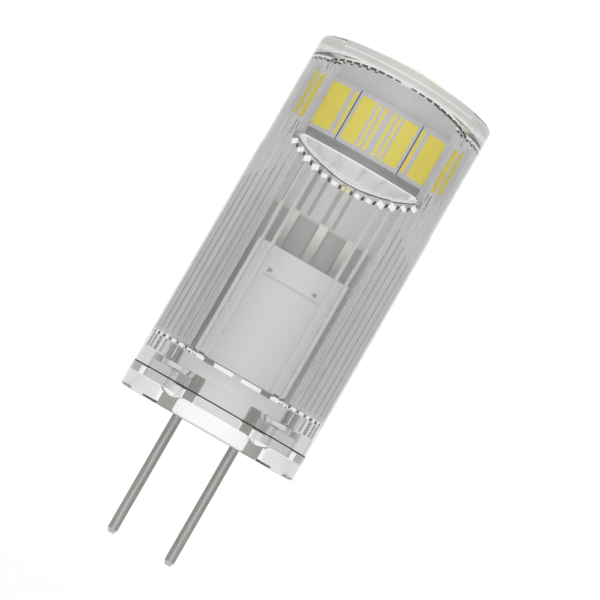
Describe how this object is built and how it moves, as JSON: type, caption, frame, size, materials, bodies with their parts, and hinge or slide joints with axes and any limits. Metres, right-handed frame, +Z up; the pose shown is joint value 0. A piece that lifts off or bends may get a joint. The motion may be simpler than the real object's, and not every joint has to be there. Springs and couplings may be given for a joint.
{
  "type": "bi-pin led bulb",
  "caption": "Small capsule lamp: clear ribbed cover with domed top over an upright board of light sources and a driver block, on a clear base with parallel contact pins.",
  "frame": {"origin": "centre of the underside of the base, midway between the contact pins", "axes": "+Z up along the lamp's axis, from the pins to the domed top; +X from the left pin to the right pin; -Y is the face with the driver block"},
  "size_m": [0.0122, 0.0122, 0.0339],
  "materials": {
    "clear_plastic": "clear polycarbonate, polished",
    "grey_insulator": "light grey moulded plastic",
    "pin_metal": "tinned steel wire, satin",
    "board_white": "white solder mask",
    "led_frame": "white package moulding",
    "phosphor": "yellow phosphor in silicone",
    "sheet_grey": "grey insulating film",
    "block_grey": "light grey moulded cap",
    "tinned_metal": "tinned strip",
    "board_green": "green solder mask",
    "black_epoxy": "black moulding compound",
    "ferrite": "grey-black ferrite",
    "copper_wire": "enamelled copper wire",
    "capacitor_tan": "tan ceramic",
    "resistor_black": "black glaze over ceramic",
    "solder": "bright solder"
  },
  "bodies": {
    "root": {"clear_cover": "clear_plastic", "base_plug": "clear_plastic", "terminal_block": "grey_insulator", "contact_pin_left": "pin_metal", "contact_pin_right": "pin_metal", "led_board": "board_white", "led_frames_front": "led_frame", "led_phosphor_front": "phosphor", "led_frames_back": "led_frame", "led_phosphor_back": "phosphor", "insulating_sheet": "sheet_grey", "driver_cap": "block_grey", "module_leads": "tinned_metal", "driver_board": "board_green", "rectifier": "black_epoxy", "rectifier_leads": "tinned_metal", "driver_chip": "black_epoxy", "driver_chip_leads": "tinned_metal", "choke_core": "ferrite", "choke_winding": "copper_wire", "input_capacitor": "capacitor_tan", "output_capacitor": "capacitor_tan", "chip_resistors": "resistor_black", "fuse": "resistor_black", "solder_joints": "solder"}
  },
  "joints": []
}
